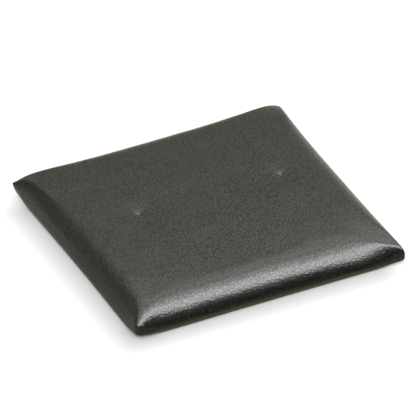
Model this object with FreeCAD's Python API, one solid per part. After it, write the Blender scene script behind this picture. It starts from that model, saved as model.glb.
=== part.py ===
"""Wall punch pad: a leather-covered striking pad that screws to a wall through two holes in its face.

It lies on its back: +Z is the striking face's direction, +X and +Y run along its sides, and the
origin is at the middle of its underside. All sizes are in millimetres.

From the wall outwards it holds the cover's turned-under hem with its staples, a plywood backing
board with a steel washer let in round each screw hole, a firm impact foam, a soft surface foam,
and the leather cover that wraps them all.
"""
import FreeCAD, Part
import math
import os

from FreeCAD import Rotation, Vector

# Overall size
pad_width = 300.0  # X, over the cover
pad_depth = 300.0  # Y, over the cover
crown_height = 30.0  # the striking face at its middle

# Leather cover
leather_thickness = 1.5
crown_rise = 2.0  # the middle of the face over its rim
roll_radius = 18.0  # of the rolled edge round the face
waist_height = 7.0  # below this the sides taper in towards the wall
waist_round = 12.0
foot_inset = 2.2  # the taper at the wall
corner_radius = 4.0  # of the upright corners, seen from the front
foot_radius = 3.5  # round at the foot, where the leather turns under the board
hem_width = 22.0  # from the board's edge to the hem's cut edge
hem_slit_width = 0.6  # gap between the two folds that meet at a corner of the hem

# Screw holes through the pad, on a row beside the middle of the face
screw_spacing = 157.6
screw_row_x = 12.6
screw_row_y = 19.4
face_hole_diameter = 7.0
dish_diameter = 11.0  # pressed into the face round each hole
dish_depth = 1.0
foam_tunnel_diameter = 12.0
board_hole_diameter = 6.5

# Backing board and foams
board_thickness = 9.0
board_corner_radius = 4.0
board_edge_round = 2.5
foam_overhang = 1.3  # the foams stand this far outside the board's edge
impact_foam_thickness = 10.0

# Washers under the screw heads
washer_diameter = 20.0
washer_thickness = 1.5
washer_chamfer = 0.3

# Hem staples
staple_crown = 10.0
staple_leg = 7.5
staple_wire_width = 1.2
staple_wire_thickness = 0.6
staple_point = 1.2
staple_sink = 0.2  # how far the crowns press into the leather
staple_pitch = 30.0
staple_edge_distance = 8.0  # from the hem's cut edge to the row of staples

# Clearances
soft_gap = 0.3  # between the cover and what it wraps
washer_gap = 0.15  # round a washer in its recess
hair = 0.01  # two levels nearer than this are the same

# Levels and outlines that follow from these
board_bottom = leather_thickness
board_top = board_bottom + board_thickness
foam_joint = board_top + impact_foam_thickness
board_margin = foot_inset + leather_thickness + foam_overhang
board_width = pad_width - 2 * board_margin
board_depth = pad_depth - 2 * board_margin
screw_places = [
    Vector(screw_row_x - screw_spacing / 2, screw_row_y, 0),
    Vector(screw_row_x + screw_spacing / 2, screw_row_y, 0),
]


def crowned_bar(width, length, depth):
    """A long bar along Y with the pad's cross-section, inside the cover's outer skin by depth.

    Its sides taper in to the foot, its top is a shallow arch, and its edges are rounded: at the
    foot, at the waist where the taper starts, and in the wide roll beside the face.
    """
    taper = math.atan2(foot_inset, waist_height)
    side = width / 2 - depth
    foot = width / 2 - foot_inset * (1 - depth / waist_height) - depth / math.cos(taper)
    waist = waist_height + depth * math.tan(taper / 2)
    crown = crown_height - depth
    arch_radius = (width**2 / 4 + crown_rise**2) / (2 * crown_rise) - depth
    rim = crown - arch_radius + math.sqrt(arch_radius**2 - side**2)
    wall = crown_height - crown_rise - waist_height - waist_round * math.tan(taper / 2)
    roll = min(roll_radius, wall) - depth
    half = [(foot, depth), (side, waist), (side, rim)]
    section = [(-x, z) for x, z in reversed(half)] + half
    corners = [Vector(x, -length / 2, z) for x, z in section]
    lines = [Part.makeLine(this, after) for this, after in zip(corners, corners[1:])]
    arch = Part.Arc(corners[-1], Vector(0, -length / 2, crown), corners[0]).toShape()
    bar = Part.Face(Part.Wire(lines + [arch])).extrude(Vector(0, length, 0))
    bar = bar.makeFillet(roll, bar_edges(bar, rim))
    bar = bar.makeFillet(waist_round, bar_edges(bar, waist))
    return bar.makeFillet(foot_radius - depth, bar_edges(bar, depth))


def bar_edges(bar, level):
    """A bar's edges that run along Y at one level."""
    return [
        edge
        for edge in bar.Edges
        if edge.BoundBox.YLength > hair
        and edge.BoundBox.ZMax < level + hair
        and edge.BoundBox.ZMin > level - hair
    ]


def upright_edges(shape):
    return [edge for edge in shape.Edges if edge.BoundBox.XLength + edge.BoundBox.YLength < hair]


def slab(width, depth, bottom, top):
    """A plain block about the origin, from one level to another."""
    corner = Vector(-width / 2, -depth / 2, bottom)
    return Part.makeBox(width, depth, top - bottom, corner)


def cushion(depth):
    """The form inside the cover's outer skin by depth: two crossed bars, mitred at the corners."""
    reach = 2 * max(pad_width, pad_depth)
    crosswise = crowned_bar(pad_depth, reach, depth)
    crosswise.rotate(Vector(0, 0, 0), Vector(0, 0, 1), 90)
    form = crowned_bar(pad_width, reach, depth).common(crosswise)
    outline = slab(pad_width - 2 * depth, pad_depth - 2 * depth, 0, crown_height)
    return form.common(outline.makeFillet(corner_radius - depth, upright_edges(outline)))


def face_height(form, place):
    """Height of a form's upper skin over a place."""
    plumb = Part.makeLine(place, place + Vector(0, 0, 2 * crown_height))
    return plumb.common(form).BoundBox.ZMax


def pressed_dish(place, level):
    """The shallow round dish that a screw head presses into the face round its hole."""
    rim = dish_diameter / 2
    radius = (rim**2 + dish_depth**2) / (2 * dish_depth)
    return Part.makeSphere(radius, place + Vector(0, 0, level - dish_depth + radius))


def screw_bores(diameter, bottom, top):
    """A round hole for each wall screw, from one level to another."""
    feet = [place + Vector(0, 0, bottom) for place in screw_places]
    return Part.makeCompound([Part.makeCylinder(diameter / 2, top - bottom, foot) for foot in feet])


def staple():
    """One hem staple at the origin: crown along X, chisel-pointed legs upwards."""
    outer, wire = staple_crown / 2, staple_wire_thickness
    inner = outer - wire
    bevel = staple_leg - staple_point
    outline = [
        (-outer, 0),
        (outer, 0),
        (outer, bevel),
        (inner, staple_leg),
        (inner, wire),
        (-inner, wire),
        (-inner, staple_leg),
        (-outer, bevel),
    ]
    points = [Vector(x, -staple_wire_width / 2, z + staple_sink) for x, z in outline]
    face = Part.Face(Part.makePolygon(points + points[:1]))
    return face.extrude(Vector(0, staple_wire_width, 0))


def placed(shape, place, turn):
    """A copy of a shape, turned about +Z and then moved."""
    copy = shape.copy()
    copy.Placement = FreeCAD.Placement(place, Rotation(Vector(0, 0, 1), turn))
    return copy


def staple_row(length, distance, turn):
    """Staples along one side of the hem, at even pitch about the side's middle."""
    window = length / 2 - hem_width
    steps = int((window - staple_crown / 2) // staple_pitch)
    wire_form = staple()
    row = []
    for step in range(-steps, steps + 1):
        place = Rotation(Vector(0, 0, 1), turn).multVec(Vector(step * staple_pitch, -distance, 0))
        row.append(placed(wire_form, place, turn))
    return row


def hem_staples():
    """Every group of staples by its node's name."""
    row_x = board_width / 2 - hem_width + staple_edge_distance
    row_y = board_depth / 2 - hem_width + staple_edge_distance
    wire_form = staple()
    corners = []
    for x_sign, y_sign in [(1, 1), (-1, 1), (-1, -1), (1, -1)]:
        place = Vector(x_sign * row_x, y_sign * row_y, 0)
        corners.append(placed(wire_form, place, -45 * x_sign * y_sign))
    return {
        "hem_staples_front": staple_row(board_width, row_y, 0),
        "hem_staples_right": staple_row(board_depth, row_x, 90),
        "hem_staples_back": staple_row(board_width, row_y, 180),
        "hem_staples_left": staple_row(board_depth, row_x, 270),
        "hem_staples_corners": corners,
    }


def leather_cover(staples):
    """Face, rolled sides and hem in one skin, open at the back inside the hem."""
    outer = cushion(0)
    cover = outer.cut(cushion(leather_thickness))
    window_width = board_width - 2 * hem_width
    window_depth = board_depth - 2 * hem_width
    cover = cover.cut(slab(window_width, window_depth, -1, leather_thickness + soft_gap))
    slit_reach = hem_width - foot_radius
    slit = slab(2 * slit_reach * math.sqrt(2), hem_slit_width, -1, leather_thickness)
    for x_sign, y_sign in [(1, 1), (-1, 1), (-1, -1), (1, -1)]:
        place = Vector(x_sign * window_width / 2, y_sign * window_depth / 2, 0)
        cover = cover.cut(placed(slit, place, 45 * x_sign * y_sign))
    sink = slab(staple_crown, staple_wire_width, -1, staple_sink)
    for one in staples:
        groove = sink.copy()
        groove.Placement = one.Placement
        cover = cover.cut(one.fuse(groove))
    for place in screw_places:
        cover = cover.cut(pressed_dish(place, face_height(outer, place)))
    return cover.cut(screw_bores(face_hole_diameter, foam_joint, crown_height))


def backing_board(staples):
    """Plywood with eased edges, bored for the screws, with a recess for each washer."""
    board = slab(board_width, board_depth, board_bottom, board_top)
    board = board.makeFillet(board_corner_radius, upright_edges(board))
    rims = [edge for edge in board.Edges if edge not in upright_edges(board)]
    board = board.makeFillet(board_edge_round, rims)
    board = board.cut(screw_bores(board_hole_diameter, board_bottom, board_top))
    recess = washer_diameter + 2 * washer_gap
    board = board.cut(screw_bores(recess, board_top - washer_thickness, board_top))
    return board.cut(Part.makeCompound(staples))


def foam_layer(bottom, top):
    """A layer of the stuffing, shaped by the cover that is pulled over it."""
    stuffing = cushion(leather_thickness + soft_gap)
    layer = stuffing.common(slab(2 * pad_width, 2 * pad_depth, bottom, top))
    return layer.cut(screw_bores(foam_tunnel_diameter, bottom, top))


def screw_washer(place):
    """Flat ring that spreads a screw head's load, flush with the board's face."""
    bottom = place + Vector(0, 0, board_top - washer_thickness)
    ring = Part.makeCylinder(washer_diameter / 2, washer_thickness, bottom)
    upper_rim = [edge for edge in ring.Edges if edge.BoundBox.ZMin > bottom.z + washer_thickness / 2]
    ring = ring.makeChamfer(washer_chamfer, upper_rim)
    return ring.cut(screw_bores(board_hole_diameter, board_bottom, board_top))


def build():
    """Every sub-part by its node's name."""
    staples = hem_staples()
    every_staple = [one for group in staples.values() for one in group]
    parts = {
        "leather_cover": leather_cover(every_staple),
        "surface_foam": foam_layer(foam_joint, crown_height),
        "impact_foam": foam_layer(board_top, foam_joint),
        "backing_board": backing_board(every_staple),
        "screw_washer_left": screw_washer(screw_places[0]),
        "screw_washer_right": screw_washer(screw_places[1]),
    }
    for name, group in staples.items():
        parts[name] = Part.makeCompound(group)
    return parts


os.makedirs("parts", exist_ok=True)
for name, shape in build().items():
    shape.exportStep(f"parts/{name}.step")
    box = shape.BoundBox
    print(
        f"{name}: solids {len(shape.Solids)}, valid {shape.isValid()}, volume {shape.Volume:.0f}, "
        f"x {box.XMin:.2f} {box.XMax:.2f}, y {box.YMin:.2f} {box.YMax:.2f}, z {box.ZMin:.2f} {box.ZMax:.2f}"
    )
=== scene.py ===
import math

import bpy
import numpy as np
from mathutils import Matrix, Vector


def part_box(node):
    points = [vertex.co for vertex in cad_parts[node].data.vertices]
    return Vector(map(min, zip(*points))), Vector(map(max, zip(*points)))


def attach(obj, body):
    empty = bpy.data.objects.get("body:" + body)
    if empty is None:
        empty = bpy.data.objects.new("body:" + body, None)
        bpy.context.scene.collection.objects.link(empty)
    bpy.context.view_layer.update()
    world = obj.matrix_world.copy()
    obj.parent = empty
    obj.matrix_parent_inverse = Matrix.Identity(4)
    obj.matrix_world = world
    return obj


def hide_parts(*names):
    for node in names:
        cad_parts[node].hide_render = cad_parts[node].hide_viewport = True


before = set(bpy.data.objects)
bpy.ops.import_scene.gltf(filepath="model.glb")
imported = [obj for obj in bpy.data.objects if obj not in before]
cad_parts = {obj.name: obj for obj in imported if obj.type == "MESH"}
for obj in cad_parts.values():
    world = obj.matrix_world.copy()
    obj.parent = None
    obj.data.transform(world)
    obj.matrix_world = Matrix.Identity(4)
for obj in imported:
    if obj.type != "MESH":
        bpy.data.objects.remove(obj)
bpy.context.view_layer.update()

MM = 0.001

# Sizes taken from the frame, in millimetres
pad_corner = np.array(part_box("leather_cover")[1]) / MM
half_side, face_level = pad_corner[0], pad_corner[2]
washers = [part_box("screw_washer_left"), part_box("screw_washer_right")]
holes = [np.array((low + high) / 2)[:2] / MM for low, high in washers]
foam_low, foam_high = (corner.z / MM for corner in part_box("impact_foam"))

# The leather's section, from the face down over the roll to the hem, in millimetres
leather = 1.5
soft_gap = 0.9  # between the leather and the foam under it
rim_level = 28.0  # the face's rim, where the roll starts
face_rise = 0.8  # the middle of the face over its rim, before the holes draw it down
foot_reach = 5.7  # the turn from the side into the hem
hem_edge = 27.0  # from the outline to the hem's cut edge

# Each side's roll, in millimetres and powers:
#   roll    how far in from the outline it starts
#   waist   the height of its widest line
#   power   of its curve in height, where 2 is an ellipse and less is flatter at the waist
#   ease    of its curve in plan, where 2 is an ellipse and more eases it into the face
#   taper   how it turns into the corner's, where more keeps it as it is closer to the corner
#   bow     how far the outline bows in between the corners
sides = {
    "front": dict(roll=31.0, waist=0.8, power=1.6, ease=2.2, taper=12.0, bow=0.7),
    "left": dict(roll=30.0, waist=1.0, power=1.7, ease=2.2, taper=6.0, bow=1.8),
    "back": dict(roll=22.0, waist=5.6, power=1.8, ease=2.4, taper=4.0, bow=0.7),
    "right": dict(roll=27.0, waist=5.5, power=1.8, ease=2.4, taper=4.0, bow=0.0),
}

# Each corner, by the signs of its x and y:
#   roundness   the power of the rings on the face there, where more is squarer
#   sharpness   the same of the outline
#   roll, waist as for a side
#   top         the height of the face's rim
#   tip         how far its point is drawn out in x and y
corners = {
    (-1, 1): dict(roundness=5.0, sharpness=150.0, roll=7.0, waist=14.5, top=14.9, tip=(-3.5, 0.8)),
    (-1, -1): dict(roundness=3.5, sharpness=40.0, roll=24.0, waist=14.5, top=14.9, tip=(0.0, 0.0)),
    (1, -1): dict(roundness=6.0, sharpness=150.0, roll=6.0, waist=7.0, top=15.4, tip=(1.0, -0.5)),
    (1, 1): dict(roundness=8.0, sharpness=90.0, roll=5.0, waist=14.5, top=14.9, tip=(0.8, 1.5)),
}
quarter_ease = 20.0  # how gently one corner's values give way to the next one's
corner_power = 2.2  # of the roll's curve at a corner, both ways
corner_ease = 0.06  # rounds the crease that the rolls would meet in
waist_taper = 17.3  # as a side's taper, for the height of the widest line
rim_taper = 7.9  # as a side's taper, for the drop of the rim
front_rim_taper = 2.8, 5.0  # along and across the front, where the rim drops over a longer way
front_from = (40.0, -40.0), (-200.0, 60.0)  # where that sets in, towards the front and the right
tip_power = 14  # more draws out a tip closer to its point alone
standing_height = 16.0  # over which swells and tips come in, from none on the hem

# Lengths of leather along the section, used as the grid's two parameters
plain_length = 95.0  # of the face, over which 1 mm of leather takes up plain_stretch in plan
plain_stretch = 1.08
face_length = 120.0
roll_length = 42.0
foot_length = 9.0
hem_length = hem_edge - foot_reach
waist_length = face_length + roll_length
hem_start = waist_length + foot_length
leather_end = hem_start + hem_length
squaring = face_length - 30.0, face_length + 0.9 * roll_length  # where rings turn to the outline's
foot_powers = 2.0, 3.5  # of the turn into the hem, along a side and at a corner
foot_taper = 7  # as a side's taper, for that power

# The pierced leather is drawn down into a dimple and closes to a pinhole. A dimple is wider
# towards its lean, in degrees, by its skew.
pinhole = 0.6  # radius
round_rings = 5 * pinhole  # radius within which the rings of grid lines round it are circles
dimples = [
    dict(place=holes[0] + (-1.7, -1.1), depth=2.4, width=2.1, lean=140.0, skew=0.35),
    dict(place=holes[1] + (-1.7, -1.6), depth=2.5, width=1.9, lean=100.0, skew=0.2),
]
dish_depth, dish_width = 0.9, 13.0  # the wide dish round each dimple
tunnel = 6.0  # radius of the screw's way through the foams

swell_height = 0.35  # of the swells in the pulled leather
golden_angle = 2.399963

tiny = 1e-9  # keeps a division finite at a middle, where the way out is 0


def smooth_step(low, high, value):
    """0 below low, 1 above high and the cubic ease between them."""
    share = np.clip((value - low) / (high - low), 0, 1)
    return share * share * (3 - 2 * share)


def mix(start, end, share):
    """The start at share 0, the end at share 1 and straight between them."""
    return start + (end - start) * share


def square_ring(u, v):
    """Half the side of each point's square ring, and how near the ring's corner the point is."""
    half = np.maximum(np.maximum(abs(u), abs(v)), tiny)
    return half, np.minimum(abs(u), abs(v)) / half


def per_side(u, v, key):
    """One of the roll's values on the side that each point belongs to."""
    across = np.where(u > 0, sides["right"][key], sides["left"][key])
    along = np.where(v > 0, sides["back"][key], sides["front"][key])
    return np.where(abs(u) > abs(v), across, along)


def per_corner(u, v, key):
    """One of the corners' values: a harmonic mean whose weights ease from quarter to quarter."""
    right, back = (0.5 * (1 + np.tanh(w / quarter_ease)) for w in (u, v))
    total = 0
    for (x_sign, y_sign), corner in corners.items():
        weight = (right if x_sign > 0 else 1 - right) * (back if y_sign > 0 else 1 - back)
        total = total + weight / corner[key]
    return 1 / total


def section(u, v, depth):
    """What the section is in each direction, depth inside the outer face.

    Towards a corner, as a high power of how diagonal the direction is, every value goes from its
    side's to the corner's. Returns the roll's reach, waist, power, ease and outline.
    """
    near_corner = square_ring(u, v)[1]
    near_corner = 1 + corner_ease - np.hypot(1 - near_corner, corner_ease)
    close = near_corner ** per_side(u, v, "taper")
    reach = mix(per_side(u, v, "roll"), per_corner(u, v, "roll"), close) - depth
    waist = mix(per_side(u, v, "waist"), per_corner(u, v, "waist"), near_corner**waist_taper)
    power, ease = (mix(per_side(u, v, key), corner_power, close) for key in ("power", "ease"))
    outline = half_side - per_side(u, v, "bow") * (1 - near_corner**2) - depth
    return reach, waist, power, ease, outline


def rim_height(x, y, depth):
    """Height of the face: a low crown whose rim drops to each corner.

    The crown is the product of one less the fourth power of each way out, and the drop is the
    product of each way out to the power of its taper.
    """
    side_x, side_y = (np.clip(abs(w) / half_side, 0, 1) for w in (x, y))
    top = rim_level + face_rise * (1 - side_x**4) * (1 - side_y**4)
    to_front = smooth_step(*front_from[0], y) * smooth_step(*front_from[1], x)
    along, inward = (mix(rim_taper, taper, to_front) for taper in front_rim_taper)
    return top - (rim_level - per_corner(x, y, "top")) * side_x**along * side_y**inward - depth


def rings_to_circles(x, y, radius, middles):
    """Turns the square rings of grid lines about each middle into circles.

    Inside the radius a square ring of half side c becomes the circle of radius c, and from there
    to twice the radius the move fades out.
    """
    for middle in middles:
        dx, dy = x - middle[0], y - middle[1]
        square = np.maximum(abs(dx), abs(dy))
        circle = np.maximum(np.hypot(dx, dy), tiny)
        scale = mix(square / circle, 1, smooth_step(radius, 2 * radius, square)) - 1
        x, y = x + dx * scale, y + dy * scale
    return x, y


def dimple_depth(x, y):
    """How far the face is drawn down at each hole: a bell, wider on the side that it leans to, in
    the middle of a wide shallow one."""
    drawn = 0
    for dimple in dimples:
        dx, dy = x - dimple["place"][0], y - dimple["place"][1]
        lean = math.radians(dimple["lean"])
        away = np.hypot(dx, dy)
        towards = (dx * math.cos(lean) + dy * math.sin(lean)) / np.maximum(away, tiny)
        width = dimple["width"] * (1 + dimple["skew"] * towards)
        drawn = drawn + dimple["depth"] * np.exp(-((away / width) ** 2) / 2)
        drawn = drawn + dish_depth * np.exp(-((away / dish_width) ** 2) / 2)
    return drawn


def unevenness(u, v, height):
    """Small swells in pulled leather: the mean of eight sine waves, times a height.

    Each is turned by the golden angle from the one before, and is longer than it.
    """
    waves, shortest, longer, shift = 8, 26, 9, 1.7
    swell = 0
    for k in range(waves):
        turn, length = golden_angle * k, shortest + longer * k
        phase = (u * math.cos(turn) + v * math.sin(turn)) * 2 * math.pi / length + shift * k
        swell = swell + np.sin(phase) / waves
    return swell * height


def cover_skin(u, v, depth=0.0):
    """The cover's skin, depth inside its outer face, as an array of points in millimetres.

    The two parameters are lengths of leather from the middle of the face. A point's ring is the
    p-norm of its two lengths, so that rings run from a dot at the middle to a square with nearly
    sharp corners. Each ring has its own place on the section: out along the face, round the roll
    (a superellipse), round the foot (another) and back in along the hem.
    """
    big, near_corner = square_ring(u, v)
    squared = smooth_step(*squaring, big)
    sharpness = mix(per_corner(u, v, "roundness"), per_corner(u, v, "sharpness"), squared)
    ring = big * (1 + near_corner**sharpness) ** (1 / sharpness)

    reach, waist, power, ease, outline = section(u, v, depth)
    foot = foot_reach - depth
    foot_power = mix(*foot_powers, near_corner**foot_taper)

    def stage(start, length):
        return np.clip((ring - start) / length, 0, 1)

    roll = stage(face_length, roll_length) * math.pi / 2
    turn = stage(waist_length, foot_length) * math.pi / 2
    rest_of_face = outline - reach - plain_stretch * plain_length
    out = plain_stretch * np.minimum(ring, plain_length)
    out += stage(plain_length, face_length - plain_length) * rest_of_face
    out += reach * np.sin(roll) ** (2 / ease)
    out -= foot * (1 - np.cos(turn) ** (2 / foot_power)) + hem_length * stage(hem_start, hem_length)
    x, y = u / ring * out, v / ring * out
    x, y = rings_to_circles(x, y, round_rings, [dimple["place"] for dimple in dimples])

    z = waist + (rim_height(x, y, depth) - waist) * np.cos(roll) ** (2 / power)
    z = depth + (z - depth) * (1 - np.sin(turn) ** (2 / foot_power))
    standing = smooth_step(0, standing_height, z)
    z = z + unevenness(u, v, swell_height * standing) - dimple_depth(x, y)
    side_x, side_y = (np.clip(w / half_side, -1, 1) for w in (x, y))
    for (x_sign, y_sign), corner in corners.items():
        in_quarter = np.clip(x_sign * side_x, 0, 1) * np.clip(y_sign * side_y, 0, 1)
        pull = standing * in_quarter**tip_power
        x, y = x + corner["tip"][0] * pull, y + corner["tip"][1] * pull
    return np.stack([x, y, z], -1)


# Grids and meshes

def both_ways(half):
    """Grid lines from 0 outwards, with their mirror images on the other side of 0."""
    return np.concatenate([-half[:0:-1], half])


def lines_by_steps(steps):
    """Grid lines on both sides of the middle. Each step is (from, to, how many lines)."""
    half = [np.linspace(start, end, count, endpoint=False) for start, end, count in steps]
    return both_ways(np.concatenate(half + [[steps[-1][1]]]))


def beside(middles, offsets, lines):
    """The lines with set offsets each side of every middle, in place of the lines near it."""
    offsets, clearance = np.array(offsets), 1.08
    for middle in middles:
        lines = lines[abs(lines - middle) > offsets[-1] * clearance]
        lines = np.concatenate([lines, middle - offsets, middle + offsets])
    return np.sort(lines)


def grid_cells(points):
    """The numbers of the four points round each cell of a grid of points."""
    rows, columns = points.shape[:2]
    index = np.arange(rows * columns).reshape(rows, columns)
    return np.stack([index[:-1, :-1], index[1:, :-1], index[1:, 1:], index[:-1, 1:]], -1)


def make_piece(name, points, faces):
    """An object with the given points, in millimetres, and faces."""
    mesh = bpy.data.meshes.new(name)
    mesh.from_pydata((points * MM).tolist(), [], faces)
    piece = bpy.data.objects.new(name, mesh)
    bpy.context.scene.collection.objects.link(piece)
    return piece


def mesh_points(mesh):
    """A mesh's points as an array, in millimetres."""
    points = np.zeros(len(mesh.vertices) * 3, np.float32)
    mesh.vertices.foreach_get("co", points)
    return points.reshape(-1, 3) / MM


def thick_sheet(name, outer, inner, keep):
    """A closed sheet between two grids of points.

    keep says which cells are there. An edge of a kept cell that no other has the other way round
    is on the boundary and gets a wall. A face's material index is 0 on the outer side, 1 on the
    inner side and 2 on the walls.
    """
    cells = grid_cells(outer)[keep]
    points = np.concatenate([outer.reshape(-1, 3), inner.reshape(-1, 3)])
    count = len(points) // 2
    starts, ends = cells.ravel(), np.roll(cells, -1, axis=1).ravel()
    rim = ~np.isin(starts * count + ends, ends * count + starts)
    starts, ends = starts[rim], ends[rim]
    walls = np.stack([ends, starts, starts + count, ends + count], -1)
    faces = np.concatenate([cells, cells[:, ::-1] + count, walls])
    kinds = np.repeat([0, 1, 2], [len(cells), len(cells), len(walls)])
    used, faces = np.unique(faces, return_inverse=True)
    piece = make_piece(name, points[used], faces.reshape(-1, 4).tolist())
    piece.data.polygons.foreach_set("material_index", kinds)
    piece.data.polygons.foreach_set("use_smooth", kinds < 2)
    return piece


def outside_holes(x, y, radius, middles):
    """Which grid cells are outside an opening at each middle.

    A cell's own middle is compared with the opening's square, drawn a little small, so that the
    first ring of cells round the opening stays.
    """
    share = 0.9
    middle_x, middle_y = (w[:-1, :-1] + w[1:, 1:] + w[1:, :-1] + w[:-1, 1:] for w in (x, y))
    keep = np.ones(middle_x.shape, bool)
    for middle in middles:
        away = np.maximum(abs(middle_x / 4 - middle[0]), abs(middle_y / 4 - middle[1]))
        keep &= away > radius * share
    return keep


# The cover

def pressed_out(lines, slack):
    """How far pressure from inside lifts the slack leather, on a square grid of lengths of leather.

    Cloth that is held along the foot, under the hem and at the two holes swells for twenty steps.
    The foam stops it moving inwards, so only each point's move along its outward normal counts,
    divided by one more than its share of the cap, so that it never passes the cap. It is evened
    out a little, and the lifts are returned as vectors.
    """
    steps, hold_levels, evenings = 20, 20, 3
    cap = 0.6
    foot_hold, hole_hold = 6.0, 5.0  # over which the hold comes in, above the foot and at a hole
    u, v = np.meshgrid(lines, lines, indexing="ij")
    start = cover_skin(u, v, slack)
    cells = grid_cells(start).reshape(-1, 4).tolist()
    sheet = make_piece("slack_leather", start.reshape(-1, 3), cells)
    held = smooth_step(waist_length - foot_hold, waist_length, np.maximum(abs(u), abs(v)))
    for dimple in dimples:
        away = np.hypot(start[..., 0] - dimple["place"][0], start[..., 1] - dimple["place"][1])
        held = np.maximum(held, np.exp(-((away / hole_hold) ** 2)))
    group = sheet.vertex_groups.new(name="held")
    for level in range(1, hold_levels + 1):
        at_level = np.flatnonzero(np.rint(held.ravel() * hold_levels) == level)
        group.add(at_level.tolist(), level / hold_levels, "REPLACE")
    cloth = sheet.modifiers.new("pressed_out", "CLOTH").settings
    cloth.quality = 6
    cloth.mass = 0.4
    cloth.tension_stiffness = cloth.compression_stiffness = 15
    cloth.bending_stiffness = 1.0
    cloth.vertex_group_mass = "held"
    cloth.use_pressure = True
    cloth.uniform_pressure_force = 4
    cloth.effector_weights.gravity = 0
    scene = bpy.context.scene
    for step in range(1, steps + 1):
        scene.frame_set(step)
    swollen = sheet.evaluated_get(bpy.context.evaluated_depsgraph_get()).data
    move = mesh_points(swollen).reshape(start.shape) - start
    scene.frame_set(1)
    mesh = sheet.data
    bpy.data.objects.remove(sheet)
    bpy.data.meshes.remove(mesh)
    outwards = np.cross(np.gradient(start, axis=0), np.gradient(start, axis=1))
    outwards /= np.maximum(np.linalg.norm(outwards, axis=-1, keepdims=True), tiny)
    lift = np.maximum((move * outwards).sum(-1, keepdims=True), 0)
    lift = lift / (1 + lift / cap)
    for _ in range(evenings):
        for axis in (0, 1):
            near = np.roll(lift, 1, axis) + np.roll(lift, -1, axis)
            lift = lift / 2 + near / 4
    return outwards * lift


def staple_crowns():
    """Both ends of every staple's crown on the hem, in plan.

    A side's crowns are read off its staples' lowest points, whose places along the row go in pairs.
    A corner has one crown, across its diagonal, which the corner staples' box places.
    """
    half_crown, half_wire, crown_top = 5.0, 0.6, 0.5
    crowns = []
    for side, axis in (("front", 0), ("back", 0), ("left", 1), ("right", 1)):
        points = mesh_points(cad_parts["hem_staples_" + side].data)
        lowest = points[points[:, 2] < crown_top]
        ends = np.unique(np.round(lowest[:, axis], 2)).reshape(-1, 2)
        row = np.full(ends.shape, lowest[:, 1 - axis].mean())
        crowns.append(np.stack([ends, row][:: 1 - 2 * axis], -1))
    outermost = np.array(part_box("hem_staples_corners")[1])[:2] / MM
    middle = outermost - (half_crown + half_wire) / math.sqrt(2)
    across = np.array([1, -1]) * half_crown / math.sqrt(2)
    for signs in corners:
        turned = np.array([middle + across, middle - across]) * signs
        crowns.append(turned[None])
    return np.concatenate(crowns)


def hem_relief(x, y, on_hem):
    """How far the hem's underside is pressed in: round the staples, and along the folds.

    A dent is full near the line of a staple's crown and gone a little further out. The mitre is a
    bell-shaped groove on the corner's diagonal, and two shallower pleats lie on each side of it.
    """
    dent, dent_full, dent_gone = 0.9, 0.6, 2.0
    # The mitre and the pleats, each as its offset from the diagonal, its depth and its width
    grooves = ((0, 0.9, 0.6), (5.5, 0.35, 0.7), (-5.5, 0.35, 0.7), (11, 0.2, 0.9), (-11, 0.2, 0.9))
    x, y = x[..., None], y[..., None]
    start, end = staple_crowns().transpose(1, 2, 0)[:, :, None, None]
    run = end - start
    share = ((x - start[0]) * run[0] + (y - start[1]) * run[1]) / (run**2).sum(0)
    share = np.clip(share, 0, 1)
    away = np.hypot(x - start[0] - share * run[0], y - start[1] - share * run[1])
    relief = dent * (1 - smooth_step(dent_full, dent_gone, away.min(-1)))
    beside_mitre = (abs(x) - abs(y))[..., 0] / math.sqrt(2)
    for offset, deep, wide in grooves:
        relief = np.maximum(relief, deep * np.exp(-(((beside_mitre - offset) / wide) ** 2)))
    return relief * on_hem


def make_cover():
    """The leather cover over the face, the rolled sides and the hem.

    The grid's lines are closest on the roll, at the holes and where the staples press the hem.
    """
    staple_low, staple_high = leather_end - 11.6, leather_end - 6.6
    steps = [(0, face_length, 40), (face_length, waist_length, 28), (waist_length, hem_start, 9)]
    steps += [(hem_start, staple_low, 4), (staple_low, staple_high, 10)]
    steps += [(staple_high, leather_end, 3)]
    lines = lines_by_steps(steps)
    offsets = np.array([0.6, 1.0, 1.5, 2.1, 2.8, 3.6, 4.5, 5.6, 6.9, 8.4, 10]) / plain_stretch
    middles = np.array([dimple["place"] for dimple in dimples])
    across = beside(middles[:, 0] / plain_stretch, offsets, lines)
    along = beside(middles[:1, 1] / plain_stretch, offsets, lines)
    u, v = np.meshgrid(across, along, indexing="ij")
    outer = cover_skin(u, v)
    thickness = cover_skin(u, v, leather) - outer  # as vectors, which the pressed leather keeps
    slack, coarse_lines = 0.3, 60
    coarse = both_ways(np.linspace(0, leather_end, coarse_lines))
    move = pressed_out(coarse, slack)
    to_across, to_along = (
        np.array([np.interp(fine, coarse, one) for one in np.eye(len(coarse))]).T
        for fine in (across, along)
    )
    outer = cover_skin(u, v, slack) + np.einsum("ai,ijk,bj->abk", to_across, move, to_along)
    ring = np.maximum(abs(u), abs(v))
    on_hem = smooth_step(hem_start - 3, hem_start + 2, ring)  # comes in at the end of the foot
    level = outer[..., 2]
    half_turned = hem_start - foot_length / 2  # from here on the leather never sinks below 0
    outer[..., 2] = np.where(ring > half_turned, np.maximum(level, 0), level)
    inner = outer + thickness
    outer[..., 2] += hem_relief(outer[..., 0], outer[..., 1], on_hem)
    keep = outside_holes(outer[..., 0], outer[..., 1], pinhole, middles)
    return thick_sheet("cover", outer, inner, keep)


# The two foams

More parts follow.
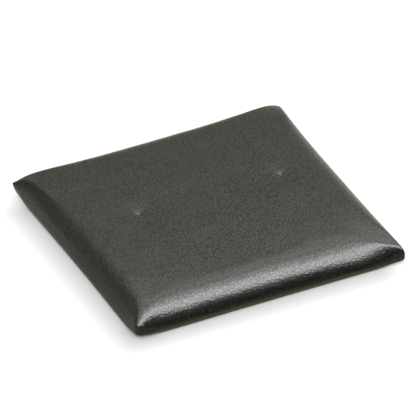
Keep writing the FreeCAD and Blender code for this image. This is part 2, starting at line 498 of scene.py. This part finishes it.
def foam_layer(name, low, high, squareness):
    """A layer of foam that fills the cover's inside between two levels.

    It is worked out in plan: a square grid whose corners are rounded by dividing by the p-norm.
    Its top is the cover's inner skin there, found by turning the section's superellipse round,
    or the level high where that is lower. Its underside is flat.
    """
    reach, dense = 140.0, 22.0  # how far the grid goes out, and the part of it with close lines
    rim_rise, least = 0.8, 0.6  # the top over the underside at the outline, and anywhere at least
    still = 0.75  # the share of the grid that isn't fitted to the outline
    lines = lines_by_steps([(0, reach - dense, 30), (reach - dense, reach, 16)])
    offsets = (6, 7, 8.2, 9.6, 11.2, 13)
    across = beside([hole[0] for hole in holes], offsets, lines)
    along = beside([holes[0][1]], offsets, lines)
    x, y = np.meshgrid(across, along, indexing="ij")
    big, diagonal = square_ring(x, y)
    depth = leather + soft_gap
    roll, waist, power, ease, outline = section(x, y, depth)
    level = np.clip((low + rim_rise - waist) / (rim_level - depth - waist), 0, 1)
    edge = outline - roll + roll * (1 - level**power) ** (1 / ease)
    edge = edge / (1 + diagonal**squareness) ** (1 / squareness)
    shrink = mix(1, edge / reach, smooth_step(still, 1, big / reach))
    x, y = rings_to_circles(x * shrink, y * shrink, tunnel, holes)
    roll, waist, power, ease, outline = section(x, y, depth)
    out = np.maximum(abs(x), abs(y))
    side = np.clip((out - (outline - roll)) / roll, 0, 1) ** ease
    top = waist + (rim_height(x, y, depth) - waist) * (1 - side) ** (1 / power)
    top = np.clip(top - dimple_depth(x, y), low + least, high)
    upper, lower = (np.stack([x, y, z], -1) for z in (top, np.full(x.shape, low)))
    return thick_sheet(name, upper, lower, outside_holes(x, y, tunnel, holes))


# Materials

def linear(code):
    """Scene-linear colour of an sRGB hex code."""
    parts = [int(code[k : k + 2], 16) / 255 for k in (1, 3, 5)]
    return [p / 12.92 if p <= 0.04045 else ((p + 0.055) / 1.055) ** 2.4 for p in parts] + [1.0]


def add(tree, kind, inputs=(), **settings):
    """A shader node with its settings, whose inputs are given by name or by number.

    An input gets a value, a link from a socket, or one from another node's first output. Inputs
    that share a name have numbers: a Mix node mixes colours 6 and 7 by its input 0.
    """
    node = tree.nodes.new("ShaderNode" + kind)
    for key, value in settings.items():
        setattr(node, key, value)
    for key, value in dict(inputs).items():
        if isinstance(value, bpy.types.Node):
            value = value.outputs[0]
        if isinstance(value, bpy.types.NodeSocket):
            tree.links.new(value, node.inputs[key])
        else:
            node.inputs[key].default_value = value
    return node


def empty_tree(owner):
    """The node tree of a material or a world, cleared."""
    owner.use_nodes = True
    owner.node_tree.nodes.clear()
    return owner.node_tree


def new_material(name):
    """A new material with its tree and each point's place on the object."""
    material = bpy.data.materials.new(name)
    tree = empty_tree(material)
    return material, tree, add(tree, "TexCoord").outputs["Object"]


def finished(material, inputs):
    """The material with its one shader, whose inputs are given as for a node."""
    shader = add(material.node_tree, "BsdfPrincipled", inputs)
    add(material.node_tree, "OutputMaterial", {"Surface": shader})
    return material


def pebbled_leather():
    """Cowhide embossed with a pebble grain, with a near black dye and a half gloss top coat.

    The pebbles stand proud of narrow creases, so that the light breaks up over them; their crowns
    are painted paler and their creases darker, as painted highlight and shade. Low on the outer
    side of the foot the colour turns pale olive, painted light bounced up from the floor. Pores are
    drawn coarse, at a third of a pebble, so that they show.
    """
    material, tree, place = new_material("pebbled_black_leather")
    pebble, pore, cloud = 3.7 * MM, 1.1 * MM, 28 * MM
    foot_top, foot_bottom = 6 * MM, 1 * MM
    foot_inside, foot_outside = (half_side - 8) * MM, (half_side - 4) * MM

    # Pebbles: cells, with their edges bent by a slow noise and pores over them
    wander = add(tree, "TexNoise", {"Vector": place, "Scale": 0.45 / pebble, "Detail": 2.0})
    bend = add(
        tree, "VectorMath", {0: wander.outputs["Color"], "Scale": 1.1 * pebble}, operation="SCALE"
    )
    bent = add(tree, "VectorMath", {0: place, 1: bend}, operation="ADD")
    from_crease = add(
        tree, "TexVoronoi", {"Vector": bent, "Scale": 1 / pebble}, feature="DISTANCE_TO_EDGE"
    )
    crown = add(
        tree, "MapRange", {"Value": from_crease, "From Min": 0.0, "From Max": 0.4},
        interpolation_type="SMOOTHSTEP",
    )
    pores = add(tree, "TexNoise", {"Vector": place, "Scale": 1 / pore, "Detail": 2.0})
    pores = add(tree, "Math", {0: pores, 1: 0.12}, operation="MULTIPLY")
    relief = add(tree, "Math", {0: crown, 1: pores}, operation="ADD")

    # Tautness: the hide is embossed deeper in some places than in others
    hide = add(tree, "TexNoise", {"Vector": place, "Scale": 1 / cloud, "Detail": 3.0})
    taut = add(
        tree, "MapRange",
        {"Value": hide, "From Min": 0.3, "From Max": 0.7, "To Min": 0.6, "To Max": 1.0},
    )
    bump = add(tree, "Bump", {"Height": relief, "Strength": taut, "Distance": 0.1 * MM})

    # Polish: full on the pebbles and less down in the creases
    polish = add(
        tree, "MapRange", {"Value": from_crease, "From Max": 0.2, "To Min": 0.7, "To Max": 1.0},
        interpolation_type="SMOOTHSTEP",
    )

    # Dye, near black, with painted highlight on the crowns of taut pebbles and painted shade in the
    # creases
    painted_grain_light = add(tree, "Math", {0: crown, 1: taut}, operation="MULTIPLY")
    dye_and_grain_light = add(
        tree, "Mix", {0: painted_grain_light, 6: linear("#0c0b06"), 7: linear("#1b1a10")}, data_type="RGBA"
    ).outputs[2]
    # Pale olive low on the outer side of the foot: painted light, bounced up from the floor
    height = add(tree, "SeparateXYZ", {0: place}).outputs["Z"]
    low = add(
        tree, "MapRange", {"Value": height, "From Min": foot_top, "From Max": foot_bottom},
        interpolation_type="SMOOTHSTEP",
    )
    all_ways = add(tree, "VectorMath", {0: place}, operation="ABSOLUTE")
    split = add(tree, "SeparateXYZ", {0: all_ways}).outputs
    out = add(tree, "Math", {0: split["X"], 1: split["Y"]}, operation="MAXIMUM")
    outer = add(
        tree, "MapRange", {"Value": out, "From Min": foot_inside, "From Max": foot_outside},
        interpolation_type="SMOOTHSTEP",
    )
    painted_floor_bounce = add(tree, "Math", {0: low, 1: outer}, operation="MULTIPLY")
    tone = add(
        tree, "Mix", {0: painted_floor_bounce, 6: dye_and_grain_light, 7: linear("#433f1c")}, data_type="RGBA"
    ).outputs[2]
    return finished(material, {
        "Base Color": tone, "Roughness": 0.6, "Specular IOR Level": 0.0, "Normal": bump,
        "Sheen Weight": 0.3, "Sheen Roughness": 0.3, "Sheen Tint": linear("#b5a640"),
        "Coat Weight": polish, "Coat Roughness": 0.26, "Coat IOR": 1.6, "Coat Normal": bump,
    })


def flesh_side():
    """The leather's unfinished inner side: short matted fibres, dull and warm grey-brown."""
    material, tree, place = new_material("suede_flesh_side")
    tuft, cloud = 1.2 * MM, 15 * MM
    matted = add(
        tree, "TexNoise", {"Vector": place, "Scale": 1 / tuft, "Detail": 5.0, "Roughness": 0.7}
    )
    clouds = add(tree, "TexNoise", {"Vector": place, "Scale": 1 / cloud, "Detail": 2.0})
    matted_share = add(tree, "Math", {0: matted, 1: 0.7}, operation="MULTIPLY")
    cloud_share = add(tree, "Math", {0: clouds, 1: 0.4}, operation="MULTIPLY")
    share = add(tree, "Math", {0: matted_share, 1: cloud_share}, operation="ADD")
    tone = add(
        tree, "Mix", {0: share, 6: linear("#4a4034"), 7: linear("#857561")}, data_type="RGBA"
    ).outputs[2]
    bump = add(tree, "Bump", {"Height": matted, "Strength": 0.8, "Distance": 0.15 * MM})
    return finished(
        material, {"Base Color": tone, "Roughness": 0.95, "Sheen Weight": 0.3, "Normal": bump}
    )


def cut_edge():
    """The knife-cut edge of chrome-tanned leather: grey-blue core fibres, dull."""
    material, tree, place = new_material("cut_leather_edge")
    fibre = 0.7 * MM
    fibres = add(tree, "TexNoise", {"Vector": place, "Scale": 1 / fibre, "Detail": 4.0})
    tone = add(
        tree, "Mix", {0: fibres, 6: linear("#2b2a28"), 7: linear("#5d5a55")}, data_type="RGBA"
    ).outputs[2]
    bump = add(tree, "Bump", {"Height": fibres, "Strength": 0.6, "Distance": 0.1 * MM})
    return finished(material, {"Base Color": tone, "Roughness": 0.9, "Normal": bump})


def foam_finish(name, cell, low, high, relief, roughness):
    """Sliced foam: opened cells of a given size over every face, which make it matt and mottled.

    The cells run from the low colour to the high one, and grime twelve cells wide dulls them.
    """
    material, tree, place = new_material(name)
    cells = add(tree, "TexVoronoi", {"Vector": place, "Scale": 1 / cell})
    grime = add(tree, "TexNoise", {"Vector": place, "Scale": 1 / (12 * cell), "Detail": 3.0})
    grime = add(tree, "Math", {0: grime, 1: 0.7}, operation="ADD")
    share = add(tree, "Math", {0: cells, 1: grime}, operation="MULTIPLY")
    tone = add(
        tree, "Mix", {0: share, 6: linear(low), 7: linear(high)}, data_type="RGBA"
    ).outputs[2]
    bump = add(tree, "Bump", {"Height": cells, "Strength": 0.9, "Distance": relief})
    return finished(material, {"Base Color": tone, "Roughness": roughness, "Normal": bump})


def birch_plywood():
    """Sanded birch plywood: pale face veneers with long soft grain, seven plies at the edge.

    The plies are slices by height, each 1/7 of the board, and every second one is end grain.
    """
    material, tree, place = new_material("sanded_birch_plywood")
    plies = 7
    grain_size, pore_size = (60, 4, 4), (25, 0.7, 0.7)  # along and across, in millimetres
    low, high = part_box("backing_board")
    ply = (high.z - low.z) / plies

    # Veneer: soft grain and fine pores, both drawn out along the board's x
    grain, pores = (
        add(tree, "Mapping", {"Vector": place, "Scale": [1 / (length * MM) for length in size]})
        for size in (grain_size, pore_size)
    )
    grain = add(
        tree, "TexNoise", {"Vector": grain, "Scale": 1.0, "Detail": 5.0, "Distortion": 0.6}
    )
    pores = add(tree, "TexNoise", {"Vector": pores, "Scale": 1.0, "Detail": 3.0})
    grain_share = add(tree, "Math", {0: grain, 1: 0.65}, operation="MULTIPLY")
    pore_share = add(tree, "Math", {0: pores, 1: 0.35}, operation="MULTIPLY")
    figure = add(tree, "Math", {0: grain_share, 1: pore_share}, operation="ADD")
    veneer = add(
        tree, "Mix", {0: figure, 6: linear("#b28c5c"), 7: linear("#e3c99a")}, data_type="RGBA"
    ).outputs[2]
    end_grain = add(
        tree, "Mix", {0: pores, 6: linear("#7c5a35"), 7: linear("#a98354")}, data_type="RGBA"
    ).outputs[2]

    # The ply's number from the board's back, a hair over so that the back is in the first ply
    height = add(tree, "SeparateXYZ", {0: place}).outputs["Z"]
    over_back = add(tree, "Math", {0: height, 1: low.z}, operation="SUBTRACT")
    number = add(tree, "Math", {0: over_back, 1: ply}, operation="DIVIDE")
    number = add(tree, "Math", {0: number, 1: 0.001}, operation="ADD")
    of_two = add(tree, "Math", {0: number, 1: 2.0}, operation="MODULO")
    odd = add(tree, "Math", {0: of_two, 1: 1.0}, operation="GREATER_THAN")
    tone = add(tree, "Mix", {0: odd, 6: veneer, 7: end_grain}, data_type="RGBA").outputs[2]
    bump = add(tree, "Bump", {"Height": figure, "Strength": 0.4, "Distance": 0.08 * MM})
    return finished(material, {"Base Color": tone, "Roughness": 0.6, "Normal": bump})


def plated_steel(name, low, high, roughness, spangle):
    """Zinc over steel: bright grey with faint crystals of a given size and a scuffed gloss."""
    material, tree, place = new_material(name)
    scuff = 0.9 * MM
    crystals = add(tree, "TexVoronoi", {"Vector": place, "Scale": 1 / spangle})
    facet = add(tree, "SeparateXYZ", {0: crystals.outputs["Color"]})
    scuffs = add(tree, "TexNoise", {"Vector": place, "Scale": 1 / scuff, "Detail": 4.0})
    facet_share = add(tree, "Math", {0: facet, 1: 0.5}, operation="MULTIPLY")
    scuff_share = add(tree, "Math", {0: scuffs, 1: 0.5}, operation="MULTIPLY")
    share = add(tree, "Math", {0: facet_share, 1: scuff_share}, operation="ADD")
    tone = add(
        tree, "Mix", {0: share, 6: linear(low), 7: linear(high)}, data_type="RGBA"
    ).outputs[2]
    gloss = add(
        tree, "MapRange",
        {"Value": scuffs, "To Min": roughness - 0.08, "To Max": roughness + 0.12},
    )
    bump = add(tree, "Bump", {"Height": scuffs, "Strength": 0.3, "Distance": 0.03 * MM})
    return finished(
        material, {"Base Color": tone, "Metallic": 1.0, "Roughness": gloss, "Normal": bump}
    )


def finish_node(name, material):
    """Gives every slot of one of the frame's nodes a material."""
    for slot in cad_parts[name].material_slots:
        slot.material = material


# The pad

cover = make_cover()
for finish in (pebbled_leather(), flesh_side(), cut_edge()):
    cover.data.materials.append(finish)
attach(cover, "root")
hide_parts("leather_cover")

soft_foam = foam_layer("soft_surface_foam", foam_high, face_level, 8.0)
firm_foam = foam_layer("firm_impact_foam", foam_low, foam_high, 24.0)
# Open cells 1 mm across and closed cells half that, each drawn a little coarse so that it shows
cream_foam = foam_finish("open_cell_polyurethane", 1.2 * MM, "#a89c74", "#e4dabb", 0.5 * MM, 0.95)
black_foam = foam_finish("closed_cell_eva", 0.6 * MM, "#141516", "#303235", 0.1 * MM, 0.75)
for foam, node, slot, finish in (
    (soft_foam, "surface_foam", "soft_foam", cream_foam),
    (firm_foam, "impact_foam", "firm_foam", black_foam),
):
    for _ in range(3):  # for the outer side, the inner side and the walls
        foam.data.materials.append(finish)
    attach(foam, "root")
    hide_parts(node)

finish_node("backing_board", birch_plywood())
zinc = plated_steel("zinc_plated_steel", "#a4a8ad", "#d0d3d6", 0.3, 1.5 * MM)
for node in ("screw_washer_left", "screw_washer_right"):
    finish_node(node, zinc)
wire = plated_steel("galvanised_wire", "#9a9c9c", "#c9cbca", 0.38, 0.8 * MM)
for side in ("front", "back", "left", "right", "corners"):
    finish_node("hem_staples_" + side, wire)


# Floor, lights and camera

def make_floor():
    """A white sheet just under the pad, which keeps its shadow and can't be seen from below.

    To the eye it goes from its own tone at the pad's outline to plain white at the shadow's width
    away, sooner to the right and the back: a glow that is missing near the pad paints a shadow
    there over the real one. In a gloss its front left half is painted darker, as painted shade. It
    is open under the pad, out of sight, so that the room lights the pad's underside too.
    """
    reach, opening, level = 20000.0, half_side - 9, -0.2
    shadow_width, lit_sides, full_glow = 41 * MM, 1.3, 0.35
    signs = np.array([(-1, -1), (1, -1), (1, 1), (-1, 1)])
    rims = np.concatenate([signs * reach, signs * opening])
    points = np.column_stack([rims, np.full(len(rims), level)])
    strips = [(k, (k + 1) % 4, (k + 1) % 4 + 4, k + 4) for k in range(4)]
    floor = make_piece("floor", points, strips)
    material, tree, place = new_material("white_sweep")
    path = add(tree, "LightPath").outputs

    # The glow grows with the way out from the pad's square, measured round its corners: its lack
    # near the pad is a painted shadow over the real one, cut short on the right and at the back
    all_ways = add(tree, "VectorMath", {0: place}, operation="ABSOLUTE")
    lit = add(tree, "VectorMath", {0: place, 1: (lit_sides, lit_sides, 0)}, operation="MULTIPLY")
    furthest = add(tree, "VectorMath", {0: all_ways, 1: lit}, operation="MAXIMUM")
    pad_edge = half_side * MM, half_side * MM, 0
    beyond = add(tree, "VectorMath", {0: furthest, 1: pad_edge}, operation="SUBTRACT")
    outside = add(tree, "VectorMath", {0: beyond, 1: (0, 0, 0)}, operation="MAXIMUM")
    away = add(tree, "VectorMath", {0: outside}, operation="LENGTH").outputs["Value"]
    glow = add(
        tree, "MapRange",
        {"Value": away, "From Min": 0.0, "From Max": shadow_width, "To Max": full_glow},
        interpolation_type="SMOOTHSTEP",
    )
    seen = add(
        tree, "Math", {0: path["Is Camera Ray"], 1: path["Is Transmission Ray"]},
        operation="MAXIMUM",
    )
    glow = add(tree, "Math", {0: seen, 1: glow}, operation="MULTIPLY")
    light = add(tree, "Emission", {"Strength": glow})

    # The paint, with painted shade on its front left quarter that only a gloss shows
    side = add(tree, "VectorMath", {0: place, 1: (0.5, 0.8, 0)}, operation="DOT_PRODUCT")
    painted_gloss_shade = add(
        tree, "MapRange", {"Value": side.outputs["Value"], "From Min": 0.1, "From Max": -0.1},
        interpolation_type="SMOOTHSTEP",
    )
    painted_gloss_shade = add(tree, "Math", {0: painted_gloss_shade, 1: path["Is Glossy Ray"]}, operation="MULTIPLY")
    colour = add(
        tree, "Mix", {0: painted_gloss_shade, 6: linear("#e1e1e1"), 7: linear("#b2b2b2")}, data_type="RGBA"
    ).outputs[2]
    paint = add(tree, "BsdfDiffuse", {"Color": colour})

    both = add(tree, "AddShader", {0: paint, 1: light})
    under = add(tree, "NewGeometry").outputs["Backfacing"]
    clear = add(tree, "BsdfTransparent")
    one_sided = add(tree, "MixShader", {0: under, 1: both, 2: clear})
    add(tree, "OutputMaterial", {"Surface": one_sided})
    floor.data.materials.append(material)


def lamp(name, place, size, radiance):
    """A soft box that faces straight down, with its place and its two sides in metres.

    It makes gloss only, at the given radiance: the light on matt surfaces is the room's.
    """
    data = bpy.data.lights.new(name, "AREA")
    data.shape = "RECTANGLE"
    data.size, data.size_y = size
    data.energy = radiance * math.pi * size[0] * size[1]
    light = bpy.data.objects.new(name, data)
    light.location = place
    light.visible_camera = light.visible_diffuse = False
    bpy.context.scene.collection.objects.link(light)


def make_world():
    """White to the eye and an even white room to matt surfaces.

    In a gloss it is a wall that is brightest at the back right and dies away towards the front,
    and plain and bright below the floor, where only the pad's underside sees it.
    """
    room_level, eye_level = 1.1, 1.0
    world = bpy.data.worlds.new("studio")
    tree = empty_tree(world)
    way = add(tree, "TexCoord").outputs["Generated"]
    split = add(tree, "SeparateXYZ", {0: way}).outputs
    path = add(tree, "LightPath").outputs

    # In a gloss: the wall, its fading towards the front, and the light from below
    along = add(tree, "VectorMath", {0: way, 1: (0.6, 0.6, 0.1)}, operation="DOT_PRODUCT")
    along = along.outputs["Value"]
    wall = add(
        tree, "MapRange",
        {"Value": along, "From Min": 0.3, "From Max": 0.9, "To Min": 0.42, "To Max": 0.72},
    )
    fade = add(
        tree, "MapRange",
        {"Value": split["Y"], "From Min": -0.3, "From Max": 0.3, "To Min": 0.12, "To Max": 1.0},
        interpolation_type="SMOOTHSTEP",
    )
    faded = add(tree, "Math", {0: wall, 1: fade}, operation="MULTIPLY")
    beneath = add(
        tree, "MapRange",
        {"Value": split["Z"], "From Min": -0.02, "From Max": -0.2, "To Max": 0.8},
    )
    gloss = add(tree, "Math", {0: faded, 1: beneath}, operation="MAXIMUM")

    # A Mix node of numbers mixes its inputs 2 and 3
    room = add(tree, "Mix", {0: path["Is Glossy Ray"], 2: room_level, 3: gloss})
    strength = add(tree, "Mix", {0: path["Is Camera Ray"], 2: room, 3: eye_level})
    colour = add(
        tree, "Mix", {0: path["Is Glossy Ray"], 6: linear("#ffffff"), 7: linear("#fffcee")},
        data_type="RGBA",
    ).outputs[2]
    glow = add(tree, "Background", {"Color": colour, "Strength": strength})
    add(tree, "OutputWorld", {"Surface": glow})
    bpy.context.scene.world = world


def make_camera():
    """A long lens from the front left, so that parallel sides stay nearly parallel."""
    azimuth, elevation, roll = (math.radians(a) for a in (-23.37, 33.65, -2.68))
    distance = 12.26
    view_width = 427.14 * MM  # at the pad
    aside, above = 0.68 * MM, 18.2 * MM  # from the pad's origin to what it aims at
    level = Vector((math.cos(azimuth), math.sin(azimuth), 0))
    flat = math.cos(elevation)
    back = Vector((math.sin(azimuth) * flat, -math.cos(azimuth) * flat, math.sin(elevation)))
    rise = back.cross(level)
    right = level * math.cos(roll) + rise * math.sin(roll)
    up = rise * math.cos(roll) - level * math.sin(roll)
    data = bpy.data.cameras.new("camera")
    data.sensor_width = 36
    data.lens = data.sensor_width * distance / view_width
    data.clip_start, data.clip_end = 0.1, 100
    camera = bpy.data.objects.new("camera", data)
    turn = Matrix((right, up, back)).transposed().to_4x4()
    aim = right * aside + up * above
    camera.matrix_world = Matrix.Translation(aim + back * distance) @ turn
    bpy.context.scene.collection.objects.link(camera)
    bpy.context.scene.camera = camera


make_floor()
lamp("front_strip", (0.8, -0.9, 1.2), (3.4, 1.0), 8.6)
lamp("middle_strip", (0.8, -0.14, 1.2), (3.4, 0.52), 3.9)
lamp("back_strip", (0.8, 0.66, 1.2), (3.4, 1.08), 1.7)
make_world()
make_camera()
bpy.context.scene.view_settings.view_transform = "Standard"
